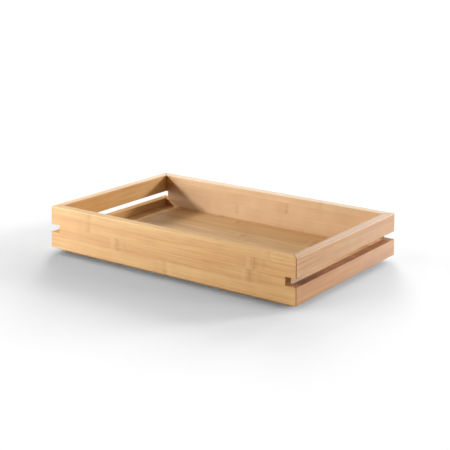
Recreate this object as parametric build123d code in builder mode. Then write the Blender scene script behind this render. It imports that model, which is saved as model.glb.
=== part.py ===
"""Bamboo bread tray: a mitred frame of two long boards and four end rails, a grooved-in base and a plinth.

Frame of the part: +Z up, origin at the centre of the underside, +X along the long sides, the front
board towards -Y, right towards +X. All dimensions are in millimetres.

The frame is a single mitred ring with eased edges. A horizontal slot crosses each short end and runs
on a little way into the long boards, so each end is an upper and a lower rail with an open grip slot
between them. The ring is parted at its mitres into six members. Blind dowels cross every mitre,
and the base sits in a groove all round. Four battens under the base make a plinth, set in from the
ring so that it drops inside the rim of a tray below and the ring's shoulder rests on that rim.
"""

from build123d import *
import os

os.makedirs("parts", exist_ok=True)

# ---------------------------------------------------------------- driving dimensions
LENGTH = 530.0  # outside, along X
WIDTH = 325.0  # outside, along Y
HEIGHT = 85.0  # outside, along Z, from the plinth's underside to the rim
WALL = 16.0  # thickness of every board and rail

PLINTH_HEIGHT = 9.0  # how far the plinth stands below the ring
PLINTH_CLEARANCE = 1.0  # between the plinth and the line of the ring's inner faces
BATTEN_WIDTH = 16.0

SLOT_BOTTOM = 38.0  # top of the lower rails
SLOT_HEIGHT = 14.0  # open height of the grip slot
NOTCH_DEPTH = 4.0  # how far the slot runs on past the wall, into the long boards

BASE_UNDERSIDE = 18.0
BASE_THICKNESS = 5.0
BASE_TONGUE = 6.0  # how far the base reaches into the groove
BASE_CHAMFER = 0.4
SWELLING_GAP = 0.5  # room left in the groove beyond each edge of the base
GROOVE_HEIGHT = 5.2

EASE_CORNER = 1.0  # upright outside corners of the ring
EASE_RIM_OUTER = 1.8
EASE_RIM_INNER = 1.2
EASE_FOOT_OUTER = 0.8  # the ring's underside
EASE_FOOT_INNER = 0.6
EASE_SLOT = 0.7
EASE_BATTEN_CORNER = 1.0  # the plinth's upright outside corners
EASE_BATTEN_FOOT = 0.8  # the plinth's lower edges

DOWEL_RADIUS = 3.0
DOWEL_LENGTH = 20.0
DOWEL_CHAMFER = 0.8
DOWEL_FLUTES = 12
FLUTE_RADIUS = 0.3
DOWEL_HOLE_RADIUS = 3.05
DOWEL_HOLE_DEPTH = 10.5  # in each member
DOWEL_INSET = 12.0  # from both outer faces, nearer the inside corner
DOWEL_HEIGHTS = (30.8, 61.0, 76.5)  # one in each lower mitre, two in each upper

# Overlaps of the cutting shapes; they don't change the result
CUT_PAST = 10.0  # beyond the faces they cut through
GROOVE_LAP = 1.0  # of the groove's cutter, inside the ring's inner faces
SELECT_MARGIN = 0.1  # slack when edges are picked by position

# ---------------------------------------------------------------- derived
HALF_L, HALF_W = LENGTH / 2, WIDTH / 2
INNER_L, INNER_W = LENGTH - 2 * WALL, WIDTH - 2 * WALL
GROOVE_DEPTH = BASE_TONGUE + SWELLING_GAP
SLOT_TOP = SLOT_BOTTOM + SLOT_HEIGHT
SLOT_MIDDLE = SLOT_BOTTOM + SLOT_HEIGHT / 2
SLOT_DEPTH = WALL + NOTCH_DEPTH
NOTCH_END = HALF_L - SLOT_DEPTH
SLOT_CUT = SLOT_DEPTH + CUT_PAST  # length of the slot's cutter, along X
MITRE_REACH = WALL + CUT_PAST  # how far the mitre cutters reach in from the outer faces
PLINTH_INSET = WALL + PLINTH_CLEARANCE
PLINTH_L, PLINTH_W = LENGTH - 2 * PLINTH_INSET, WIDTH - 2 * PLINTH_INSET

# side of X, side of Y for each corner
CORNERS = {
    "front_left": (-1, -1),
    "front_right": (1, -1),
    "back_left": (-1, 1),
    "back_right": (1, 1),
}


def dowel_planes(side_x, side_y):
    """Where the dowels of one corner cross its mitre, each plane facing along the dowel."""
    return [
        Plane(
            origin=(side_x * (HALF_L - DOWEL_INSET), side_y * (HALF_W - DOWEL_INSET), height),
            x_dir=(0, 0, 1),
            z_dir=(side_x, -side_y, 0),
        )
        for height in DOWEL_HEIGHTS
    ]


def mirrored(part, about):
    """The matching piece on the other side of the tray."""
    with BuildPart() as twin:
        mirror(part, about=about)
    return twin.part


# ---------------------------------------------------------------- the frame before it is parted
with BuildPart() as ring:
    with BuildSketch(Plane.XY.offset(PLINTH_HEIGHT)):
        Rectangle(LENGTH, WIDTH)
        Rectangle(INNER_L, INNER_W, mode=Mode.SUBTRACT)
    extrude(amount=HEIGHT - PLINTH_HEIGHT)

    # upright outside corners, then the rim and the underside
    uprights = ring.edges().filter_by(Axis.Z)
    fillet(uprights.filter_by(lambda e: abs(e.center().X) > HALF_L - SELECT_MARGIN), EASE_CORNER)
    fillet(ring.faces().sort_by(Axis.Z)[-1].outer_wire().edges(), EASE_RIM_OUTER)
    fillet(ring.faces().sort_by(Axis.Z)[-1].inner_wires()[0].edges(), EASE_RIM_INNER)
    fillet(ring.faces().sort_by(Axis.Z)[0].outer_wire().edges(), EASE_FOOT_OUTER)
    fillet(ring.faces().sort_by(Axis.Z)[0].inner_wires()[0].edges(), EASE_FOOT_INNER)

    # grip slots through both short ends, notching the long boards behind them
    with BuildSketch(Plane.XY.offset(SLOT_BOTTOM)):
        with Locations((NOTCH_END + SLOT_CUT / 2, 0), (-NOTCH_END - SLOT_CUT / 2, 0)):
            Rectangle(SLOT_CUT, WIDTH + 2 * CUT_PAST)
    extrude(amount=SLOT_HEIGHT, mode=Mode.SUBTRACT)

    # ease the slots all round, but leave the two inside corners of each notch square
    slot_edges = ring.edges().filter_by_position(Axis.Z, SLOT_BOTTOM, SLOT_TOP)
    notch_corners = slot_edges.filter_by(Axis.Y).filter_by_position(
        Axis.X, -NOTCH_END - SELECT_MARGIN, NOTCH_END + SELECT_MARGIN
    )
    fillet([e for e in slot_edges if e not in notch_corners], EASE_SLOT)

    # groove for the base, all round the inside
    with BuildSketch(Plane.XY.offset(BASE_UNDERSIDE)):
        Rectangle(INNER_L + 2 * GROOVE_DEPTH, INNER_W + 2 * GROOVE_DEPTH)
        Rectangle(INNER_L - 2 * GROOVE_LAP, INNER_W - 2 * GROOVE_LAP, mode=Mode.SUBTRACT)
    extrude(amount=GROOVE_HEIGHT, mode=Mode.SUBTRACT)

    # blind dowel holes, drilled square to each mitre
    for side_x in (-1, 1):
        for side_y in (-1, 1):
            with BuildSketch(*dowel_planes(side_x, side_y)):
                Circle(DOWEL_HOLE_RADIUS)
            extrude(amount=DOWEL_HOLE_DEPTH, both=True, mode=Mode.SUBTRACT)

# ---------------------------------------------------------------- the six members of the frame
with BuildPart() as front_board:
    add(ring.part)
    with BuildSketch():
        with BuildLine():
            Polyline(
                (-HALF_L - CUT_PAST, -HALF_W - CUT_PAST),
                (HALF_L + CUT_PAST, -HALF_W - CUT_PAST),
                (HALF_L - MITRE_REACH, -HALF_W + MITRE_REACH),
                (-HALF_L + MITRE_REACH, -HALF_W + MITRE_REACH),
                close=True,
            )
        make_face()
    extrude(amount=HEIGHT + CUT_PAST, mode=Mode.INTERSECT)


def right_rail(bottom, top):
    """The ring's right end between its mitres, kept between two heights."""
    with BuildPart() as rail:
        add(ring.part)
        with BuildSketch(Plane.XY.offset(bottom)):
            with BuildLine():
                Polyline(
                    (HALF_L + CUT_PAST, -HALF_W - CUT_PAST),
                    (HALF_L + CUT_PAST, HALF_W + CUT_PAST),
                    (HALF_L - MITRE_REACH, HALF_W - MITRE_REACH),
                    (HALF_L - MITRE_REACH, -HALF_W + MITRE_REACH),
                    close=True,
                )
            make_face()
        extrude(amount=top - bottom, mode=Mode.INTERSECT)
    return rail.part


right_lower_rail = right_rail(0, SLOT_MIDDLE)
right_upper_rail = right_rail(SLOT_MIDDLE, HEIGHT + CUT_PAST)

# ---------------------------------------------------------------- base
with BuildPart() as base_panel:
    with BuildSketch(Plane.XY.offset(BASE_UNDERSIDE)):
        Rectangle(INNER_L + 2 * BASE_TONGUE, INNER_W + 2 * BASE_TONGUE)
    extrude(amount=BASE_THICKNESS)
    chamfer(base_panel.faces().sort_by(Axis.Z)[-1].edges(), BASE_CHAMFER)
    chamfer(base_panel.faces().sort_by(Axis.Z)[0].edges(), BASE_CHAMFER)

# ---------------------------------------------------------------- plinth: long battens, short ones between
with BuildPart() as front_batten:
    with BuildSketch():
        with Locations((0, -PLINTH_W / 2 + BATTEN_WIDTH / 2)):
            Rectangle(PLINTH_L, BATTEN_WIDTH)
    extrude(amount=BASE_UNDERSIDE)
    fillet(front_batten.edges().filter_by(Axis.Z).group_by(Axis.Y)[0], EASE_BATTEN_CORNER)
    fillet(front_batten.faces().sort_by(Axis.Z)[0].edges(), EASE_BATTEN_FOOT)

with BuildPart() as right_batten:
    with BuildSketch():
        with Locations((PLINTH_L / 2 - BATTEN_WIDTH / 2, 0)):
            Rectangle(BATTEN_WIDTH, PLINTH_W - 2 * BATTEN_WIDTH)
    extrude(amount=BASE_UNDERSIDE)
    # the ends butt against the long battens, so only the long edges are eased
    fillet(right_batten.faces().sort_by(Axis.Z)[0].edges().filter_by(Axis.Y), EASE_BATTEN_FOOT)

# ---------------------------------------------------------------- one fluted dowel, centred on the mitre
with BuildPart() as dowel:
    with BuildSketch(Plane.XY.offset(-DOWEL_LENGTH / 2)):
        Circle(DOWEL_RADIUS)
        with PolarLocations(DOWEL_RADIUS, DOWEL_FLUTES):
            Circle(FLUTE_RADIUS, mode=Mode.SUBTRACT)
    extrude(amount=DOWEL_LENGTH)
    # tapered ends
    with BuildSketch(Plane.XZ):
        with BuildLine():
            Polyline(
                (0, -DOWEL_LENGTH / 2),
                (DOWEL_RADIUS - DOWEL_CHAMFER, -DOWEL_LENGTH / 2),
                (DOWEL_RADIUS, -DOWEL_LENGTH / 2 + DOWEL_CHAMFER),
                (DOWEL_RADIUS, DOWEL_LENGTH / 2 - DOWEL_CHAMFER),
                (DOWEL_RADIUS - DOWEL_CHAMFER, DOWEL_LENGTH / 2),
                (0, DOWEL_LENGTH / 2),
                close=True,
            )
        make_face()
    revolve(axis=Axis.Z, mode=Mode.INTERSECT)


def corner_dowels(side_x, side_y):
    """The three dowels of one corner."""
    with BuildPart() as dowels:
        with Locations(*dowel_planes(side_x, side_y)):
            add(dowel.part)
    return dowels.part


# ---------------------------------------------------------------- export
PIECES = {
    "front_board": front_board.part,
    "back_board": mirrored(front_board.part, Plane.XZ),
    "left_upper_rail": mirrored(right_upper_rail, Plane.YZ),
    "left_lower_rail": mirrored(right_lower_rail, Plane.YZ),
    "right_upper_rail": right_upper_rail,
    "right_lower_rail": right_lower_rail,
    "base_panel": base_panel.part,
    "front_plinth_batten": front_batten.part,
    "back_plinth_batten": mirrored(front_batten.part, Plane.XZ),
    "left_plinth_batten": mirrored(right_batten.part, Plane.YZ),
    "right_plinth_batten": right_batten.part,
}
for corner, sides in CORNERS.items():
    PIECES[f"corner_dowels_{corner}"] = corner_dowels(*sides)

for label, part in PIECES.items():
    part.label = label
    export_step(part, f"parts/{label}.step")
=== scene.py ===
"""Bamboo bread tray with grip slots: looks, floor, light and camera."""

import bpy
import math
import random
from mathutils import Matrix, Vector

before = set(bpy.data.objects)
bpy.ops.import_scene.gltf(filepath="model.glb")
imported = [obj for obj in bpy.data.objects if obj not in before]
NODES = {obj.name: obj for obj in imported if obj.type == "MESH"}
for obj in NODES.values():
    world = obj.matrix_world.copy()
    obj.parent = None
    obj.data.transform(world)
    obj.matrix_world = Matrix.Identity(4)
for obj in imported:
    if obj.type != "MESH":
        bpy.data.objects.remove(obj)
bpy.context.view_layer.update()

LENGTH, WIDTH, HEIGHT, WALL = 530.0, 325.0, 85.0, 16.0
SLOT_LOW, SLOT_HIGH = 38.0, 52.0


# ------------------------------------------------------------------ small node-tree helper
class Tree:
    """Builds shader nodes with short calls; values may be numbers or output sockets."""

    def __init__(self, tree):
        self.t = tree

    def new(self, kind, **props):
        n = self.t.nodes.new(kind)
        for k, v in props.items():
            setattr(n, k, v)
        return n

    def plug(self, socket, value):
        if value is None:
            return
        if isinstance(value, bpy.types.NodeSocket):
            self.t.links.new(value, socket)
        else:
            socket.default_value = value

    def math(self, op, a, b=None, c=None, clamp=False):
        n = self.new("ShaderNodeMath", operation=op, use_clamp=clamp)
        self.plug(n.inputs[0], a)
        self.plug(n.inputs[1], b)
        self.plug(n.inputs[2], c)
        return n.outputs[0]

    def add(self, a, b):
        return self.math("ADD", a, b)

    def sub(self, a, b):
        return self.math("SUBTRACT", a, b)

    def mul(self, a, b):
        return self.math("MULTIPLY", a, b)

    def vec(self, x=0.0, y=0.0, z=0.0):
        n = self.new("ShaderNodeCombineXYZ")
        for s, v in zip(n.inputs, (x, y, z)):
            self.plug(s, v)
        return n.outputs[0]

    def split(self, v):
        n = self.new("ShaderNodeSeparateXYZ")
        self.plug(n.inputs[0], v)
        return n.outputs[0], n.outputs[1], n.outputs[2]

    def noise(self, vector, scale=1.0, detail=2.0, rough=0.5, w=None, distort=0.0):
        n = self.new("ShaderNodeTexNoise", noise_dimensions="3D" if w is None else "4D")
        self.plug(n.inputs["Vector"], vector)
        self.plug(n.inputs["Scale"], scale)
        self.plug(n.inputs["Detail"], detail)
        self.plug(n.inputs["Roughness"], rough)
        self.plug(n.inputs["Distortion"], distort)
        if w is not None:
            self.plug(n.inputs["W"], w)
        return n.outputs[0]

    def remap(self, v, a, b, c=0.0, d=1.0, smooth=False):
        n = self.new("ShaderNodeMapRange", clamp=True,
                     interpolation_type="SMOOTHSTEP" if smooth else "LINEAR")
        for s, x in zip(n.inputs, (v, a, b, c, d)):
            self.plug(s, x)
        return n.outputs[0]

    def mix(self, fac, a, b, mode="MIX"):
        n = self.new("ShaderNodeMix", data_type="RGBA", blend_type=mode)
        self.plug(n.inputs[0], fac)
        self.plug(n.inputs[6], a)
        self.plug(n.inputs[7], b)
        return n.outputs[2]

    def mixf(self, fac, a, b):
        n = self.new("ShaderNodeMix", data_type="FLOAT")
        self.plug(n.inputs[0], fac)
        self.plug(n.inputs[2], a)
        self.plug(n.inputs[3], b)
        return n.outputs[0]

    def steps(self, fac, colours):
        """A colour ramp with one flat step per entry; fac 0..1 spans them all."""
        n = self.new("ShaderNodeValToRGB")
        r = n.color_ramp
        r.interpolation = "CONSTANT"
        while len(r.elements) < len(colours):
            r.elements.new(0.99)
        for i, (e, c) in enumerate(zip(r.elements, colours)):
            e.position = i / len(colours)
            e.color = (c[0], c[1], c[2], 1.0)
        self.plug(n.inputs[0], fac)
        return n.outputs[0]

    def ramp(self, fac, stops, interpolation="LINEAR"):
        n = self.new("ShaderNodeValToRGB")
        r = n.color_ramp
        r.interpolation = interpolation
        while len(r.elements) < len(stops):
            r.elements.new(0.5)
        for e, (p, c) in zip(r.elements, stops):
            e.position = p
            e.color = (c[0], c[1], c[2], 1.0)
        self.plug(n.inputs[0], fac)
        return n.outputs[0]


def srgb(r, g, b):
    """sRGB 0..255 to linear."""
    out = []
    for c in (r, g, b):
        c /= 255.0
        out.append(c / 12.92 if c <= 0.04045 else ((c + 0.055) / 1.055) ** 2.4)
    return tuple(out)


# ------------------------------------------------------------------ bamboo
STRIP = 21.0  # width of a laminated strip
PLY = WALL / 3.0  # three strips make the wall's thickness


def bamboo(name, grain, seed, rows, plies, face0, ply0, ply, table=None,
           tone=(1.0, 1.0, 1.0), gloss=0.42, mitres=True, strength=1.0, marks=1.0, painted_light=None,
           rim_shine=(1.0, 1.0)):
    """Laminated bamboo as a solid texture, in the row frame, in millimetres.

    grain is the axis the strips run along. rows are the strips' edges across the face, from face0
    upward, STRIP apart; plies are the layers through the thickness from ply0, each ply thick.
    """
    rnd = random.Random(seed)
    mat = bpy.data.materials.new(name)
    mat.use_nodes = True
    nt = mat.node_tree
    nt.nodes.clear()
    t = Tree(nt)
    coord = t.new("ShaderNodeTexCoord").outputs["Object"]
    x, y, z = t.split(coord)
    x, y, z = t.mul(x, 1000.0), t.mul(y, 1000.0), t.mul(z, 1000.0)
    if grain == "X":
        u, v, w = x, z, y
    elif grain == "Y":
        u, v, w = y, z, x
    else:  # a flat panel: strips lie side by side across Y
        u, v, w = x, y, z
    uo = t.add(u, 400.0)

    # which strip, and where in it; the strips' edges wander a little
    wander = t.mul(t.sub(t.noise(t.vec(t.mul(u, 0.006), t.mul(w, 0.05), seed * 3.1), detail=1.0), 0.5), 0.5)
    ply_f = t.math("DIVIDE", t.sub(w, ply0), ply)
    ply_i = t.math("MINIMUM", t.math("MAXIMUM", t.math("FLOOR", ply_f), 0.0), plies - 1.0)
    shift = t.mul(t.math("MODULO", ply_i, 2.0), STRIP * 0.43) if plies > 1 and table is None else 0.0
    row_f = t.math("DIVIDE", t.add(t.sub(t.add(v, wander), face0), shift), STRIP)
    row_i = t.math("MINIMUM", t.math("MAXIMUM", t.math("FLOOR", row_f), 0.0), rows - 1.0)
    in_row = t.mul(t.sub(row_f, row_i), STRIP)  # mm from the strip's lower edge
    in_ply = t.mul(t.sub(ply_f, ply_i), ply)
    cell = t.math("DIVIDE", t.add(t.add(t.mul(ply_i, float(rows)), row_i), 0.5), float(rows * plies))

    # per strip: first knuckle, spacing, lightness; a random number, redness, how strong its knuckles are
    cells, tints = [], []
    for p in range(plies):
        for r in range(rows):
            first, period, val = rnd.uniform(0.10, 0.9), rnd.uniform(0.27, 0.39), rnd.uniform(0.30, 0.70)
            mark = rnd.uniform(0.25, 1.0) * marks
            if table and (r, p) in table:
                first, period, val, mark = table[(r, p)]
            cells.append((first, period, val))
            tints.append((rnd.random(), rnd.random(), mark))
    kx, kp, kv = t.split(t.steps(cell, cells))
    tx, ty, tz = t.split(t.steps(cell, tints))

    off = t.add(t.mul(tx, 50.0), t.mul(ty, 31.0))  # each strip its own piece of cane
    # distance along the strip to its nearest knuckle; the scar across it is bent and leans a little
    bend = t.add(t.mul(t.sub(t.noise(t.vec(t.mul(v, 0.07), t.mul(w, 0.07), off), detail=1.0), 0.5), 9.0),
                 t.mul(t.sub(t.noise(t.vec(t.mul(v, 0.9), t.mul(w, 0.9), off), detail=1.0), 0.5), 1.2))
    along_mm = t.mul(kp, 1000.0)
    kpos = t.math("DIVIDE", t.sub(t.add(uo, bend), t.mul(kx, 1000.0)), along_mm)
    which = t.math("FLOOR", t.add(kpos, 0.5))
    kd = t.mul(t.sub(t.math("FRACT", t.add(kpos, 0.5)), 0.5), along_mm)  # signed mm
    ka = t.math("ABSOLUTE", kd)

    # fibres run round the knuckle: the pattern's cross coordinate swells there
    swell = t.remap(ka, 0.0, 18.0, 1.0, 0.0, smooth=True)
    wav = t.mul(t.sub(t.noise(t.vec(t.mul(u, 0.012), t.mul(v, 0.10), t.add(t.mul(w, 0.10), off))), 0.5), 1.6)
    vv = t.add(t.add(v, wav), t.mul(swell, t.mul(t.sub(t.noise(t.vec(t.mul(u, 0.09), t.mul(v, 0.22), t.add(t.mul(w, 0.22), off))), 0.5), 6.0)))

    broad = t.noise(t.vec(t.mul(u, 0.0040), t.mul(vv, 0.13), t.add(t.mul(w, 0.13), off)), detail=2.0, rough=0.55)
    band3 = t.noise(t.vec(t.mul(u, 0.0105), t.mul(vv, 0.36), t.add(t.mul(w, 0.36), off)), detail=2.0, rough=0.5)
    streak = t.noise(t.vec(t.mul(u, 0.014), t.mul(vv, 0.95), t.add(t.mul(w, 0.95), off)), detail=3.0, rough=0.62)
    fibre = t.noise(t.vec(t.mul(u, 0.012), t.mul(vv, 3.4), t.add(t.mul(w, 3.4), off)), detail=2.0, rough=0.6)
    pores = t.noise(t.vec(t.mul(u, 0.040), t.mul(vv, 5.5), t.add(t.mul(w, 5.5), off)), detail=1.0, rough=0.5)
    pore = t.remap(pores, 0.60, 0.72, 0.0, 1.0, smooth=True)
    dark_line = t.remap(t.noise(t.vec(t.mul(u, 0.0055), t.mul(vv, 0.62), t.add(t.mul(w, 0.62), t.mul(off, 1.7))), detail=2.0, rough=0.5),
                        0.60, 0.72, 0.0, 1.0, smooth=True)
    cloud = t.noise(t.vec(t.mul(u, 0.012), t.mul(v, 0.05), t.add(t.mul(w, 0.05), seed * 1.7)), detail=3.0)

    # lightness of the strip
    light = t.add(t.add(t.mul(t.sub(broad, 0.5), 0.46), t.mul(t.sub(band3, 0.5), 0.52)),
                  t.add(t.mul(t.sub(streak, 0.5), 0.46), t.mul(t.sub(fibre, 0.5), 0.34)))
    light = t.add(light, t.mul(t.sub(cloud, 0.5), 0.12))
    light = t.add(t.mul(light, strength), t.mul(t.sub(kv, 0.5), 0.50))
    light = t.sub(light, t.mul(t.add(t.mul(pore, 0.06), t.mul(dark_line, 0.16)), strength))
    fac = t.add(light, 0.5)
    colour = t.ramp(fac, [
        (0.00, srgb(168, 112, 58)),
        (0.28, srgb(196, 144, 84)),
        (0.50, srgb(213, 168, 106)),
        (0.72, srgb(225, 186, 127)),
        (1.00, srgb(238, 208, 158)),
    ])
    if painted_light:  # painted light: the colour is mixed toward a pale cream along the member, paler where more light and sheen fall; how much, and the positions along it where that starts and is full
        painted_light_fade = t.remap(u, painted_light[1], painted_light[2], smooth=True)
        if len(painted_light) > 3:  # only the layers on the near side of this depth
            painted_light_fade = t.mul(painted_light_fade, t.remap(w, painted_light[3], painted_light[3] + 0.4, 1.0, 0.25))
        colour = t.mix(t.mul(painted_light_fade, painted_light[0]), colour, (*srgb(246, 224, 190), 1.0))
    # a little redder or yellower from strip to strip
    colour = t.mix(t.mul(ty, 0.30), colour, t.mix(1.0, colour, (1.03, 0.955, 0.90, 1.0), "MULTIPLY"))

    # knuckle: a ragged brown smear of short fibre ends either side of a thin broken scar, paler beyond;
    # no two are alike, and each is stronger toward one edge of its strip
    own = t.noise(t.vec(t.mul(which, 7.3), row_i, t.add(ply_i, off)), detail=0.0)
    lean = t.noise(t.vec(t.mul(v, 0.06), t.mul(which, 3.1), t.add(t.mul(w, 0.06), off)), detail=1.0)
    power = t.mul(t.mul(tz, t.remap(own, 0.30, 0.62, 0.75, 1.25)), t.remap(lean, 0.38, 0.60, 0.50, 1.2, smooth=True))
    reach = t.remap(t.noise(t.vec(t.mul(v, 0.35), t.mul(which, 5.0), t.add(t.mul(w, 0.35), off)), detail=2.0), 0.30, 0.70, 1.8, 6.5)
    near_side = t.math("EXPONENT", t.mul(-1.0, t.math("POWER", t.math("DIVIDE", ka, reach), 2.0)))
    dash = t.remap(t.noise(t.vec(t.mul(u, 0.13), t.mul(vv, 1.25), t.add(t.mul(w, 1.25), off)), detail=3.0, rough=0.6), 0.36, 0.66, smooth=True)
    smear = t.mul(t.mul(near_side, t.add(0.40, t.mul(dash, 0.60))), power)
    broken = t.remap(t.noise(t.vec(t.mul(v, 0.6), t.mul(w, 0.6), off), detail=2.0), 0.38, 0.62, 0.15, 1.0)
    line_a = t.mul(t.remap(t.math("ABSOLUTE", t.sub(kd, 0.6)), 0.4, 1.5, 1.0, 0.0, smooth=True), broken)
    line_b = t.mul(t.remap(t.math("ABSOLUTE", t.add(kd, 4.6)), 0.3, 1.2, 1.0, 0.0, smooth=True), t.sub(1.1, broken))
    side = t.mul(t.math("SIGN", t.sub(own, 0.5)), 13.0)  # a broad faint stain lies to one side of the scar
    spread = t.add(t.sub(kd, side), t.mul(t.sub(t.noise(t.vec(t.mul(u, 0.05), t.mul(v, 0.12), off), detail=1.0), 0.5), 14.0))
    stain = t.mul(t.mul(t.math("EXPONENT", t.mul(-1.0, t.math("POWER", t.math("DIVIDE", t.math("ABSOLUTE", spread), 9.0), 2.0))), power),
                  t.remap(dash, 0.0, 1.0, 0.45, 1.0))
    lines = t.mul(t.math("MAXIMUM", line_a, t.mul(line_b, 0.55)), t.math("MINIMUM", power, 1.0))
    rim = t.mul(t.remap(t.math("ABSOLUTE", t.sub(ka, 12.0)), 0.0, 6.0, 1.0, 0.0, smooth=True), t.math("MINIMUM", power, 1.0))
    band = near_side
    colour = t.mix(t.mul(rim, 0.14), colour, (*srgb(244, 219, 170), 1.0))
    colour = t.mix(t.mul(stain, 0.26), colour, (*srgb(178, 124, 62), 1.0))
    colour = t.mix(t.math("MINIMUM", t.mul(smear, 0.46), 0.8), colour, (*srgb(172, 118, 54), 1.0))
    colour = t.mix(t.mul(lines, 0.42), colour, (*srgb(150, 98, 40), 1.0))

    # glue lines between strips and between plies
    edge_v = t.math("MINIMUM", in_row, t.sub(STRIP, in_row))
    edge_w = t.math("MINIMUM", in_ply, t.sub(ply, in_ply))
    glue_noise = t.add(0.35, t.mul(t.noise(t.vec(t.mul(u, 0.02), row_i, t.add(ply_i, seed))), 0.9))
    glue_v = t.mul(t.remap(edge_v, 0.06, 0.42, 1.0, 0.0, smooth=True), glue_noise)
    glue_w = t.mul(t.remap(edge_w, 0.05, 0.30, 1.0, 0.0, smooth=True), glue_noise)
    glue = t.math("MAXIMUM", glue_v, glue_w) if plies > 1 else glue_v
    colour = t.mix(t.mul(glue, 0.40), colour, (*srgb(158, 104, 56), 1.0))

    # end grain: where the surface faces along the strip, fibre ends show as brown dots
    normal = t.new("ShaderNodeNewGeometry").outputs["True Normal"]
    nx, ny, nz = t.split(normal)
    along = t.math("ABSOLUTE", nx if grain != "Y" else ny)
    endg = t.remap(along, 0.75, 0.98, 0.0, 1.0, smooth=True)
    dots = t.remap(t.noise(t.vec(t.mul(u, 0.2), t.mul(v, 2.4), t.mul(w, 2.4)), detail=1.0), 0.45, 0.62, smooth=True)
    end_colour = t.mix(dots, (*srgb(206, 158, 104), 1.0), (*srgb(150, 98, 56), 1.0))
    colour = t.mix(t.mul(endg, 0.75), colour, end_colour)

    # the mitre: a hairline of glue where two members meet
    seam = None
    if mitres:
        ax = t.sub(LENGTH / 2, t.math("ABSOLUTE", x))
        ay = t.sub(WIDTH / 2, t.math("ABSOLUTE", y))
        md = t.mul(t.math("ABSOLUTE", t.sub(ax, ay)), 0.7071)
        near = t.mul(t.remap(ax, WALL, WALL + 0.5, 1.0, 0.0), t.remap(ay, WALL, WALL + 0.5, 1.0, 0.0))
        seam = t.mul(t.remap(md, 0.20, 0.85, 1.0, 0.0, smooth=True), near)
        soak = t.mul(t.remap(md, 0.4, 2.2, 1.0, 0.0, smooth=True), near)  # lacquer darkens the end grain beside the joint
        colour = t.mix(t.mul(soak, 0.22), colour, (*srgb(172, 108, 50), 1.0))
        colour = t.mix(t.mul(seam, 0.72), colour, (*srgb(134, 76, 28), 1.0))

    # darker and duller edges: the dullness is wear of the lacquer; the darker colour is partly wear and partly painted
    # shade that dims the light the rounded edges catch
    bev = t.new("ShaderNodeBevel", samples=4)
    bev.inputs["Radius"].default_value = 0.0016
    dot = t.new("ShaderNodeVectorMath", operation="DOT_PRODUCT")
    t.plug(dot.inputs[0], bev.outputs[0])
    t.plug(dot.inputs[1], normal)
    edge_wear_and_shade = t.remap(dot.outputs["Value"], 0.90, 0.995, 1.0, 0.0, smooth=True)
    colour = t.mix(t.mul(edge_wear_and_shade, 0.30), colour, (*srgb(196, 146, 90), 1.0))

    # the milled slot: its cut surfaces between the rails and in the notches are darker, partly their own dry colour
    # and mostly painted shade, strongest toward the right end and weaker in the notches; being dry, they are also
    # rougher
    slot = None
    if mitres:
        in_slot = t.mul(t.remap(z, SLOT_LOW - 0.5, SLOT_LOW - 0.1), t.remap(z, SLOT_HIGH + 0.1, SLOT_HIGH + 0.5, 1.0, 0.0))
        slot = t.mul(in_slot, t.remap(t.sub(LENGTH / 2, t.math("ABSOLUTE", x)), 20.4, 20.8, 1.0, 0.0))
        shade_blotch = t.noise(t.vec(t.mul(x, 0.05), t.mul(y, 0.05), t.mul(z, 0.4)), detail=3.0)
        shade = t.mix(t.remap(shade_blotch, 0.35, 0.65), (0.44, 0.31, 0.26, 1.0), (0.58, 0.44, 0.38, 1.0))
        cut = t.mul(slot, t.mul(t.remap(x, -50.0, 50.0, 0.30, 1.0), t.remap(t.math("ABSOLUTE", y), 146.0, 147.0, 1.0, 0.55)))
        colour = t.mix(cut, colour, t.mix(1.0, colour, shade, "MULTIPLY"))

    tinted = t.mix(1.0, colour, (*tone, 1.0), "MULTIPLY")
    # light the outside faces send back to the table is kept grey, so the shadow beside the tray stays neutral
    outside = t.math("MAXIMUM", t.remap(t.math("ABSOLUTE", x), LENGTH / 2 - 2.2, LENGTH / 2 - 1.2),
                     t.remap(t.math("ABSOLUTE", y), WIDTH / 2 - 2.2, WIDTH / 2 - 1.2))
    outside = t.math("MAXIMUM", outside, t.remap(z, 9.5, 10.0, 1.0, 0.0))
    sent = t.mul(outside, t.new("ShaderNodeLightPath").outputs["Is Diffuse Ray"])
    tinted = t.mix(sent, tinted, (0.42, 0.42, 0.42, 1.0))

    # satin lacquer over the wood: roughness follows the fibres, with faint smudges
    smudge = t.noise(t.vec(t.mul(x, 0.02), t.mul(y, 0.02), t.mul(z, 0.02)), detail=4.0, rough=0.6)
    rough = t.add(t.add(gloss, t.mul(t.sub(fibre, 0.5), 0.14)), t.mul(t.sub(smudge, 0.5), 0.16))
    rough = t.add(rough, t.mul(endg, 0.15))
    if slot is not None:
        rough = t.add(rough, t.mul(slot, 0.35))

    height = t.add(t.add(t.mul(fibre, 0.030), t.mul(streak, 0.020)), t.mul(pore, -0.02))
    height = t.sub(height, t.mul(glue, 0.035))
    height = t.add(height, t.mul(band, 0.05))
    if seam is not None:
        height = t.sub(height, t.mul(seam, 0.02))
    bump = t.new("ShaderNodeBump")
    bump.inputs["Strength"].default_value = 0.55
    bump.inputs["Distance"].default_value = 0.001
    t.plug(bump.inputs["Height"], height)

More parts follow.
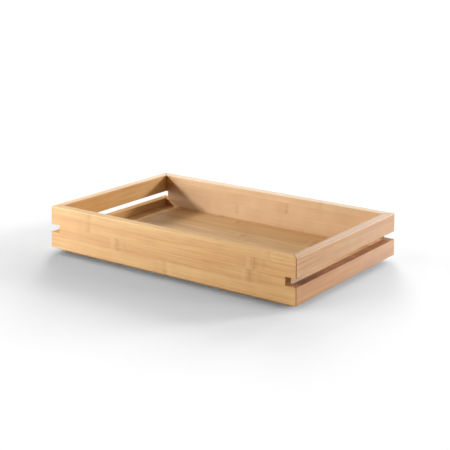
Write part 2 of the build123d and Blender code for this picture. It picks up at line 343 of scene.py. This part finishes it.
    b = t.new("ShaderNodeBsdfPrincipled")
    t.plug(b.inputs["Base Color"], tinted)
    t.plug(b.inputs["Roughness"], rough)
    b.inputs["IOR"].default_value = 1.5
    t.plug(b.inputs["Normal"], bump.outputs[0])
    shine = 1.0
    if slot is not None:  # the cut slot is dry; the rim's lacquer is rubbed thin by hands
        rubbed = t.mixf(t.mul(t.remap(nz, 0.12, 0.40), t.remap(z, HEIGHT - 2.2, HEIGHT - 1.8)), 1.0,
                        t.remap(u, -150.0, 150.0, *rim_shine))
        shine = t.mul(t.mul(t.sub(1.0, t.mul(slot, 0.8)), rubbed), t.sub(1.0, t.math("MAXIMUM", t.mul(edge_wear_and_shade, 0.7), t.mul(seam, 0.85))))
    t.plug(b.inputs["Coat Weight"], t.mul(shine, 0.20))
    t.plug(b.inputs["Specular IOR Level"], t.mul(shine, 0.5))
    b.inputs["Coat Roughness"].default_value = 0.28
    b.inputs["Coat IOR"].default_value = 1.5
    out = t.new("ShaderNodeOutputMaterial")
    t.plug(out.inputs["Surface"], b.outputs[0])
    return mat


def paint(node, mat):
    o = NODES[node]
    o.data.materials.clear()
    o.data.materials.append(mat)


# The front board's strips as they lie: first knuckle (m from the left end + 0.135), spacing, lightness, mark.
# u runs from 0.135 at the left end of the board to 0.665 at its right end.
LEFT = 0.135
front_table = {
    (0, 0): (LEFT + 0.2655, 0.335, 0.64, 1.1),
    (1, 0): (LEFT + 0.1590, 0.282, 0.44, 0.9),
    (2, 0): (LEFT + 0.0900, 0.359, 0.50, 0.8),
    (3, 0): (LEFT + 0.0915, 0.385, 0.65, 0.6),
}
WALL_ROWS = dict(rows=4, plies=3, face0=9.5)
# the front board is painted paler toward its left end: painted light and sheen where the left lamps fall
paint("front_board", bamboo("bamboo_front", "X", 1, ply0=-WIDTH / 2, ply=PLY, table=front_table, tone=(0.975, 0.965, 0.93),
                            strength=0.95, painted_light=(0.13, 140.0, -265.0), rim_shine=(0.25, 0.10), **WALL_ROWS))
# back board: the top strips on the inner side are set very light, and the inner face is painted paler from just right
# of the shaded corner; both are painted light below the rim
back_table = {(3, 0): (0.52, 0.36, 0.92, 0.4), (3, 1): (0.30, 0.36, 0.80, 0.4)}
paint("back_board", bamboo("bamboo_back", "X", 2, ply0=WIDTH / 2 - WALL, ply=PLY, table=back_table, tone=(1.0, 0.98, 0.97),
                           painted_light=(0.50, -252.0, -215.0, WIDTH / 2 - WALL + 2 * PLY), rim_shine=(1.2, 1.0), **WALL_ROWS))
# the right rails' darker, cooler tone is painted shade on the right end, which the lamps light less; painted_light
# makes each rail paler toward its back end, painted light where more light falls
for i, (node, x0, tone, streaks, painted_light, shine) in enumerate((
    ("right_upper_rail", LENGTH / 2 - WALL, (0.890, 0.835, 0.94), 1.15, (0.22, -170.0, 170.0), (0.45, 1.6)),
    ("right_lower_rail", LENGTH / 2 - WALL, (0.920, 0.830, 0.93), 1.15, (0.32, -170.0, 170.0), (1.0, 1.0)),
    ("left_upper_rail", -LENGTH / 2, (1.06, 1.03, 0.87), 1.15, (0.18, -60.0, 110.0), (0.8, 2.2)),
    ("left_lower_rail", -LENGTH / 2, (1.03, 1.0, 0.90), 1.1, (0.16, -60.0, 120.0), (1.0, 1.0)),
)):
    paint(node, bamboo(f"bamboo_{node}", "Y", 11 + i, ply0=x0, ply=PLY, table={}, tone=tone, strength=streaks, marks=0.35,
                       painted_light=painted_light, rim_shine=shine, **WALL_ROWS))
paint("base_panel", bamboo("bamboo_base", "panel", 21, rows=15, plies=1, face0=-155.0, ply0=18.0, ply=5.0,
                           tone=(0.96, 0.95, 0.94), gloss=0.5, mitres=False, table={}))
for i, (node, g) in enumerate((
    ("front_plinth_batten", "X"), ("back_plinth_batten", "X"), ("left_plinth_batten", "Y"), ("right_plinth_batten", "Y"),
)):
    paint(node, bamboo(f"bamboo_{node}", g, 31 + i, rows=1, plies=1, face0=-1.0, ply0=0.0, ply=1000.0,
                       tone=(1.0, 0.92, 0.84), gloss=0.55, mitres=False, table={}))


def dowel_wood(name, seed):
    """Plain fluted hardwood, grain along each dowel; only seen with the mitres open."""
    mat = bpy.data.materials.new(name)
    mat.use_nodes = True
    mat.node_tree.nodes.clear()
    t = Tree(mat.node_tree)
    coord = t.new("ShaderNodeTexCoord").outputs["Object"]
    x, y, z = t.split(coord)
    grain = t.noise(t.vec(t.mul(x, 900.0), t.mul(y, 900.0), t.mul(z, 2600.0)), detail=3.0, w=float(seed))
    fleck = t.remap(t.noise(t.vec(t.mul(x, 300.0), t.mul(y, 300.0), t.mul(z, 5200.0)), detail=1.0), 0.6, 0.7)
    colour = t.ramp(grain, [(0.25, srgb(196, 160, 116)), (0.75, srgb(226, 196, 152))])
    colour = t.mix(t.mul(fleck, 0.35), colour, (*srgb(158, 112, 70), 1.0))
    bump = t.new("ShaderNodeBump")
    bump.inputs["Strength"].default_value = 0.4
    bump.inputs["Distance"].default_value = 0.0004
    t.plug(bump.inputs["Height"], grain)
    b = t.new("ShaderNodeBsdfPrincipled")
    t.plug(b.inputs["Base Color"], colour)
    t.plug(b.inputs["Roughness"], t.add(0.62, t.mul(grain, 0.15)))
    t.plug(b.inputs["Normal"], bump.outputs[0])
    out = t.new("ShaderNodeOutputMaterial")
    t.plug(out.inputs["Surface"], b.outputs[0])
    return mat


for i, node in enumerate(("corner_dowels_front_left", "corner_dowels_front_right",
                          "corner_dowels_back_left", "corner_dowels_back_right")):
    paint(node, dowel_wood(f"beech_{node}", 41 + i))


# ------------------------------------------------------------------ floor
def grid_mesh(name, sx, sy, nx, ny, z=0.0):
    verts = [(-sx / 2 + sx * i / nx, -sy / 2 + sy * j / ny, z) for j in range(ny + 1) for i in range(nx + 1)]
    faces = [(j * (nx + 1) + i, j * (nx + 1) + i + 1, (j + 1) * (nx + 1) + i + 1, (j + 1) * (nx + 1) + i)
             for j in range(ny) for i in range(nx)]
    me = bpy.data.meshes.new(name)
    me.from_pydata(verts, [], faces)
    o = bpy.data.objects.new(name, me)
    bpy.context.scene.collection.objects.link(o)
    return o


floor = grid_mesh("floor", 60.0, 60.0, 8, 8)
fm = bpy.data.materials.new("floor_white")
fm.use_nodes = True
fm.node_tree.nodes.clear()
t = Tree(fm.node_tree)
fx, fy, fz = t.split(t.new("ShaderNodeTexCoord").outputs["Object"])
tooth = t.noise(t.vec(t.mul(fx, 90.0), t.mul(fy, 90.0), 0.0), detail=3.0)
fb = t.new("ShaderNodeBsdfPrincipled")
t.plug(fb.inputs["Base Color"], t.mix(tooth, (0.858, 0.850, 0.838, 1.0), (0.866, 0.858, 0.846, 1.0)))
t.plug(fb.inputs["Roughness"], t.remap(tooth, 0.0, 1.0, 0.85, 0.95))
fb.inputs["Specular IOR Level"].default_value = 0.1
fo = t.new("ShaderNodeOutputMaterial")
t.plug(fo.inputs["Surface"], fb.outputs[0])
floor.data.materials.append(fm)


# ------------------------------------------------------------------ light
def toward(az, el):
    """Unit vector from the tray: azimuth 0 is +Y (behind it), 90 is +X (its right end)."""
    a, e = math.radians(az), math.radians(el)
    return Vector((math.sin(a) * math.cos(e), math.cos(a) * math.cos(e), math.sin(e)))


# The room: soft patches of white card round the table: name, azimuth, elevation, half-width (degrees), strength, colour.
ROOM = [
    ("back_left", -40.0, 18.0, 34.0, 1.70, (0.97, 0.99, 1.0)),
    ("back_right", 40.0, 18.0, 34.0, 1.15, (0.93, 0.95, 1.0)),
    ("front_left", -135.0, 15.0, 34.0, 0.90, (1.0, 1.0, 1.0)),
    ("right", 100.0, 25.0, 34.0, 0.35, (0.86, 0.90, 1.0)),
    ("top", 0.0, 80.0, 34.0, 1.10, (1.0, 1.0, 1.0)),
]
world = bpy.data.worlds.new("studio")
bpy.context.scene.world = world
world.use_nodes = True
world.node_tree.nodes.clear()
t = Tree(world.node_tree)
direction = t.new("ShaderNodeTexCoord").outputs["Generated"]
total = (0.0, 0.0, 0.0, 1.0)
for name, az, el, half, strength, colour in ROOM:
    dot = t.new("ShaderNodeVectorMath", operation="DOT_PRODUCT")
    t.plug(dot.inputs[0], direction)
    dot.inputs[1].default_value = toward(az, el)
    patch = t.remap(dot.outputs["Value"], math.cos(math.radians(half)), math.cos(math.radians(half * 0.25)), smooth=True)
    amount = t.new("ShaderNodeValue")
    amount.name = "room_" + name
    amount.outputs[0].default_value = strength
    lit = t.new("ShaderNodeVectorMath", operation="SCALE")
    lit.inputs[0].default_value = colour
    t.plug(lit.inputs["Scale"], t.mul(patch, amount.outputs[0]))
    total = t.mix(1.0, total, lit.outputs[0], "ADD")
bg = t.new("ShaderNodeBackground")
t.plug(bg.inputs["Color"], total)
white = t.new("ShaderNodeBackground")
white.inputs["Color"].default_value = (1, 1, 1, 1)
white.inputs["Strength"].default_value = 1.05
pick = t.new("ShaderNodeMixShader")
t.plug(pick.inputs[0], t.new("ShaderNodeLightPath").outputs["Is Camera Ray"])
t.plug(pick.inputs[1], bg.outputs[0])
t.plug(pick.inputs[2], white.outputs[0])
wo = t.new("ShaderNodeOutputWorld")
t.plug(wo.inputs["Surface"], pick.outputs[0])

# lights in these two groups reach everything but the floor, or the floor alone
not_floor = bpy.data.collections.new("all_but_the_floor")
not_floor.objects.link(floor)
not_floor.collection_objects[0].light_linking.link_state = "EXCLUDE"
only_floor = bpy.data.collections.new("floor_alone")
only_floor.objects.link(floor)


def lamp(name, kind, pos, target, power, colour=(1, 1, 1), reach=None, **props):
    li = bpy.data.lights.new(name, kind)
    li.energy = power
    li.color = colour
    for k, v in props.items():
        setattr(li, k, v)
    o = bpy.data.objects.new(name, li)
    bpy.context.scene.collection.objects.link(o)
    o.location = pos
    o.rotation_mode = "QUATERNION"
    o.rotation_quaternion = (Vector(target) - Vector(pos)).to_track_quat("-Z", "Y")
    if reach is not None:
        o.light_linking.receiver_collection = reach
    return o


lamp("key", "AREA", (-1.30, -1.00, 0.75), (0.0, 0.0, 0.05), 24.0, (0.97, 0.98, 1.0), not_floor, size=0.20)
lamp("side_box", "AREA", (-1.15, -1.05, 0.30), (-0.15, -0.16, 0.04), 17.8, (0.97, 0.98, 1.0), not_floor, size=0.7)
lamp("back_box", "AREA", (1.30, 1.60, 0.60), (0.265, 0.05, 0.06), 7.0, (0.90, 0.92, 1.0), not_floor, size=0.9)
lamp("back_key", "AREA", (1.45, 1.55, 0.72), (0.0, 0.0, 0.06), 33.0, (0.98, 0.97, 1.0), not_floor, size=0.22)

# a low row of lights, mostly behind the tray, makes its wide soft shadow: azimuth, elevation, angle, strength
FLOOR_LIGHTS = [
    (-35.0, 20.0, 20.0, 1.236), (0.0, 20.0, 20.0, 0.869), (35.0, 20.0, 20.0, 1.149), (70.0, 20.0, 20.0, 0.748),
    (-35.0, 9.0, 14.0, 0.399), (0.0, 9.0, 14.0, 0.292), (35.0, 9.0, 14.0, 0.904), (70.0, 9.0, 14.0, 0.461),
    (-35.0, 38.0, 30.0, 0.255), (-110.0, 25.0, 30.0, 0.330), (110.0, 25.0, 30.0, 0.150),
    (180.0, 12.0, 16.0, 0.510), (-145.0, 20.0, 24.0, 0.309), (-145.0, 45.0, 30.0, 0.299),
]
for i, (az, el, spread, strength) in enumerate(FLOOR_LIGHTS):
    lamp(f"floor_{i + 1:02d}", "SUN", toward(az, el) * 3.0, (0, 0, 0), strength * 1.014, (0.977, 0.986, 1.0), only_floor,
         angle=math.radians(spread))

# ------------------------------------------------------------------ camera
# A view camera with its film plane upright, so that the tray's upright edges stay upright. The lens is
# shifted down to frame the tray; the shift belongs to this stand only and is dropped anywhere else.
CAM_AT = Vector((1.187, -1.605, 0.621))
AZ, EL, ROLL = math.radians(34.58), math.radians(3.25), math.radians(0.40)
SHIFT_X, SHIFT_Y = -(260.0 - 225.0) / 450.0, -(225.0 + 24.0) / 450.0
cam_data = bpy.data.cameras.new("camera")
cam = bpy.data.objects.new("camera", cam_data)
bpy.context.scene.collection.objects.link(cam)
bpy.context.scene.camera = cam
cam_data.sensor_fit = "HORIZONTAL"
cam_data.sensor_width = 36.0
cam_data.lens = 1119.9 * 36.0 / 450.0
cam_data.clip_start, cam_data.clip_end = 0.05, 100.0
back = Vector((math.sin(AZ) * math.cos(EL), -math.cos(AZ) * math.cos(EL), math.sin(EL)))
cam.location = CAM_AT
cam.rotation_mode = "QUATERNION"
cam.rotation_quaternion = Matrix.Rotation(ROLL, 3, back).to_quaternion() @ (-back).to_track_quat("-Z", "Y")
for path, value in (("shift_x", SHIFT_X), ("shift_y", SHIFT_Y)):
    drv = cam_data.driver_add(path).driver
    drv.type = "SCRIPTED"
    for name, channel in (("x", "LOC_X"), ("y", "LOC_Y"), ("z", "LOC_Z")):
        var = drv.variables.new()
        var.name = name
        var.type = "TRANSFORMS"
        var.targets[0].id = cam
        var.targets[0].transform_type = channel
        var.targets[0].transform_space = "WORLD_SPACE"
    drv.expression = (f"{value:.5f} if abs(x - {CAM_AT.x:.4f}) + abs(y - {CAM_AT.y:.4f}) + abs(z - {CAM_AT.z:.4f}) < 0.01 "
                      "else 0.0")

scene = bpy.context.scene
scene.view_settings.view_transform = "Standard"
scene.view_settings.look = "None"
scene.view_settings.exposure = 0.0
